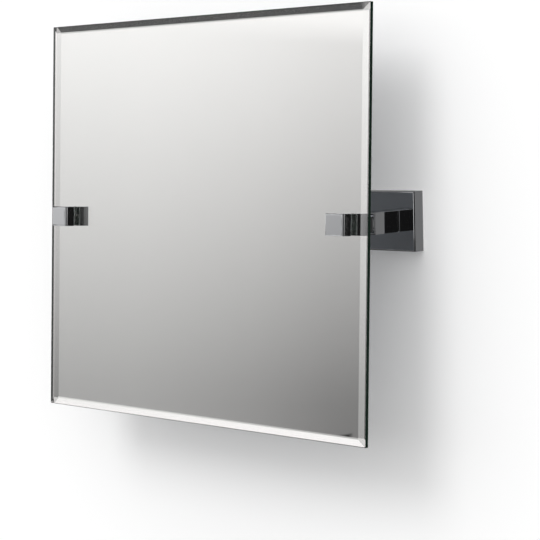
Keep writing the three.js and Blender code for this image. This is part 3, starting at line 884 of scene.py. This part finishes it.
def light_room(tree, white, ambient):
    """The world: white for the camera, the room for metal and glass, even light for the rest."""
    place = node(tree, "ShaderNodeTexCoord")
    direction = node(tree, "ShaderNodeSeparateXYZ", {"Vector": place.outputs["Generated"]})
    x, y, z = (direction.outputs[axis] for axis in "XYZ")
    outwards = node(tree, "ShaderNodeMath", {0: y, 1: -1.0}, operation="MULTIPLY")
    azimuth = node(tree, "ShaderNodeMath", {0: x, 1: outwards.outputs[0]}, operation="ARCTAN2")
    elevation = node(tree, "ShaderNodeMath", {0: z}, operation="ARCSINE")
    across = node(tree, "ShaderNodeMapRange", {
        "Value": azimuth.outputs[0], "From Min": -math.pi, "From Max": math.pi,
    })
    upwards = node(tree, "ShaderNodeMapRange", {
        "Value": elevation.outputs[0], "From Min": -math.pi / 2, "From Max": math.pi / 2,
    })
    by_azimuth = node(tree, "ShaderNodeValToRGB", {"Fac": across.outputs["Result"]})
    set_ramp(by_azimuth, [((angle + 180) / 360, level) for angle, level in ROOM_BY_AZIMUTH])
    by_elevation = node(tree, "ShaderNodeValToRGB", {"Fac": upwards.outputs["Result"]})
    set_ramp(by_elevation, [((angle + 90) / 180, level) for angle, level in ROOM_BY_ELEVATION])
    loss = node(tree, "ShaderNodeMath", {0: 1.0, 1: by_azimuth.outputs["Color"]}, operation="SUBTRACT")
    low = node(tree, "ShaderNodeMapRange", {
        "Value": elevation.outputs[0], "From Min": math.radians(CEILING_STARTS[0]),
        "From Max": math.radians(CEILING_STARTS[1]), "To Min": 1.0, "To Max": 0.0,
    })
    lost = node(
        tree, "ShaderNodeMath", {0: loss.outputs[0], 1: low.outputs["Result"]}, operation="MULTIPLY",
    )
    level = node(
        tree, "ShaderNodeMath", {0: by_elevation.outputs["Color"], 1: lost.outputs[0]},
        operation="SUBTRACT",
    )
    edge = node(tree, "ShaderNodeMath", {
        0: azimuth.outputs[0], 1: -DARK_EDGE_SLOPE, 2: elevation.outputs[0],
    }, operation="MULTIPLY_ADD")
    above = node(tree, "ShaderNodeMapRange", {
        "Value": edge.outputs[0], "From Min": math.radians(DARK_EDGE_HEIGHT - DARK_EDGE_BLUR),
        "From Max": math.radians(DARK_EDGE_HEIGHT + DARK_EDGE_BLUR),
    })
    below = node(tree, "ShaderNodeMapRange", {
        "Value": elevation.outputs[0], "From Min": math.radians(DARK_EDGE_FOOT[0]),
        "From Max": math.radians(DARK_EDGE_FOOT[1]), "To Min": 1.0, "To Max": 0.0,
    })
    beside = node(tree, "ShaderNodeMapRange", {
        "Value": azimuth.outputs[0], "From Min": math.radians(DARK_EDGE_END[0]),
        "From Max": math.radians(DARK_EDGE_END[1]),
    })
    clear = above.outputs["Result"]
    for part in (below, beside):
        clear = node(
            tree, "ShaderNodeMath", {0: clear, 1: part.outputs["Result"]}, operation="MAXIMUM",
        ).outputs[0]
    lit = node(tree, "ShaderNodeMath", {0: level.outputs[0], 1: clear}, operation="MULTIPLY")
    kept = node(tree, "ShaderNodeMath", {0: lit.outputs[0], 1: DARKEST}, operation="MAXIMUM")
    room = node(tree, "ShaderNodeBackground", {"Color": kept.outputs[0], "Strength": ROOM_GAIN})
    sky = node(tree, "ShaderNodeMath", {0: z, 1: 0.0}, operation="MAXIMUM")
    horizon = node(tree, "ShaderNodeMapRange", {
        "Value": z, "From Min": -HORIZON_BLUR, "From Max": HORIZON_BLUR,
        "To Min": LIGHT_FROM_BELOW, "To Max": 1.0,
    })
    soft = node(tree, "ShaderNodeMath", {0: sky.outputs[0], 1: horizon.outputs["Result"]}, operation="ADD")
    scaled = node(tree, "ShaderNodeMath", {0: soft.outputs[0], 1: ambient}, operation="MULTIPLY")
    even = node(tree, "ShaderNodeBackground", {"Color": white, "Strength": scaled.outputs[0]})
    plain = node(tree, "ShaderNodeBackground", {"Color": white, "Strength": 1.0})
    gloss = node(tree, "ShaderNodeMixShader", {
        0: seen_by(tree, "Is Glossy Ray", "Is Transmission Ray"),
        1: even.outputs["Background"], 2: room.outputs["Background"],
    })
    shown = node(tree, "ShaderNodeMixShader", {
        0: seen_by(tree, "Is Camera Ray"),
        1: gloss.outputs["Shader"], 2: plain.outputs["Background"],
    })
    node(tree, "ShaderNodeOutputWorld", {"Surface": shown.outputs["Shader"]})


KEY_ELEVATION = 38.8
KEY_AZIMUTH = -10.1
WALL_HALF_WIDTH = 6.0
WALL_HEIGHT = 4.0
# The wall stands this far behind the brackets, so that the two don't lie in one plane.
WALL_SETBACK = 0.2 * MM
# The sheet of painted shade over the gap between the mirror and the wall: half width, front, back and
# height, in metres.
GAP_SHADE_HALF_WIDTH = 0.3
GAP_SHADE_FRONT = -0.074
GAP_SHADE_BACK = -0.002
GAP_SHADE_HEIGHT = 0.23


class MIRROR_OT_stage(bpy.types.Operator):
    """Make the camera, the wall, the floor and the light"""
    bl_idname = "mirror.stage"
    bl_label = "Stage"

    def execute(self, context):
        scene = context.scene
        settings = scene.mirror_stage
        scene.view_settings.view_transform = "Standard"

        lens = bpy.data.cameras.new("photograph_camera")
        lens.sensor_width = SENSOR_WIDTH
        lens.lens = settings.lens
        lens.shift_y = CAMERA_SHIFT_UP
        lens.clip_start = CLIP_START
        lens.clip_end = CLIP_END
        camera = bpy.data.objects.new("photograph_camera", lens)
        camera.matrix_world = camera_matrix()
        scene.collection.objects.link(camera)
        scene.camera = camera

        floor_height = -settings.floor_drop
        wide = WALL_HALF_WIDTH
        plain_sheet("wall", [
            (-wide, WALL_SETBACK, floor_height), (wide, WALL_SETBACK, floor_height),
            (wide, WALL_SETBACK, WALL_HEIGHT), (-wide, WALL_SETBACK, WALL_HEIGHT),
        ], painted_wall(settings.wall))
        floor = plain_sheet("floor", [
            (-wide, -wide, floor_height), (wide, -wide, floor_height),
            (wide, wide, floor_height), (-wide, wide, floor_height),
        ], pale_floor(settings.wall))
        # Only the metal sees the sheet. It keeps the bright ceiling off the wall plates: painted shade
        # that stands in for the dark gap between the mirror and the wall.
        gap_shade_sheet = plain_sheet("painted_gap_shade_sheet", [
            (-GAP_SHADE_HALF_WIDTH, GAP_SHADE_FRONT, GAP_SHADE_HEIGHT), (GAP_SHADE_HALF_WIDTH, GAP_SHADE_FRONT, GAP_SHADE_HEIGHT),
            (GAP_SHADE_HALF_WIDTH, GAP_SHADE_BACK, GAP_SHADE_HEIGHT), (-GAP_SHADE_HALF_WIDTH, GAP_SHADE_BACK, GAP_SHADE_HEIGHT),
        ], painted_gap_shade())
        for ray in ("diffuse", "glossy", "transmission", "shadow"):
            setattr(floor, f"visible_{ray}", False)
        for ray in ("camera", "diffuse", "transmission", "shadow"):
            setattr(gap_shade_sheet, f"visible_{ray}", False)

        lamp = bpy.data.lights.new("broad_key_light", "SUN")
        lamp.energy = settings.key
        lamp.angle = settings.key_spread
        key = bpy.data.objects.new("broad_key_light", lamp)
        towards = direction_to(math.radians(KEY_AZIMUTH), math.radians(KEY_ELEVATION))
        key.rotation_mode = "QUATERNION"
        key.rotation_quaternion = towards.to_track_quat("Z", "Y")
        key.visible_glossy = False
        key.visible_transmission = False
        scene.collection.objects.link(key)

        world = bpy.data.worlds.new("soft_studio")
        world.use_nodes = True
        world.node_tree.nodes.clear()
        light_room(world.node_tree, linear(0xFFFFFF), settings.ambient)
        scene.world = world
        return {"FINISHED"}


OPERATORS = (
    MIRROR_OT_stage,
    MIRROR_OT_glass,
    MIRROR_OT_silvering,
    MIRROR_OT_chrome,
    MIRROR_OT_threads,
    MIRROR_OT_fittings,
)


class MIRROR_PT_panel(bpy.types.Panel):
    """Lists the pieces of the mirror and their settings"""
    bl_idname = "MIRROR_PT_panel"
    bl_label = "Pivot wall mirror"
    bl_space_type = "VIEW_3D"
    bl_region_type = "UI"
    bl_category = "Mirror"

    def draw(self, context):
        for operator in OPERATORS:
            self.layout.operator(operator.bl_idname)
        for name, group in SETTINGS.items():
            box = self.layout.box()
            for prop in group.__annotations__:
                box.prop(getattr(context.scene, name), prop)


CLASSES = (*SETTINGS.values(), *OPERATORS, MIRROR_PT_panel)


def register():
    for cls in CLASSES:
        bpy.utils.register_class(cls)
    for name, group in SETTINGS.items():
        setattr(bpy.types.Scene, name, PointerProperty(type=group))


def unregister():
    for name in SETTINGS:
        delattr(bpy.types.Scene, name)
    for cls in reversed(CLASSES):
        bpy.utils.unregister_class(cls)


def main():
    register()
    for operator in OPERATORS:
        family, name = operator.bl_idname.split(".")
        getattr(getattr(bpy.ops, family), name)()


if __name__ == "__main__":
    main()
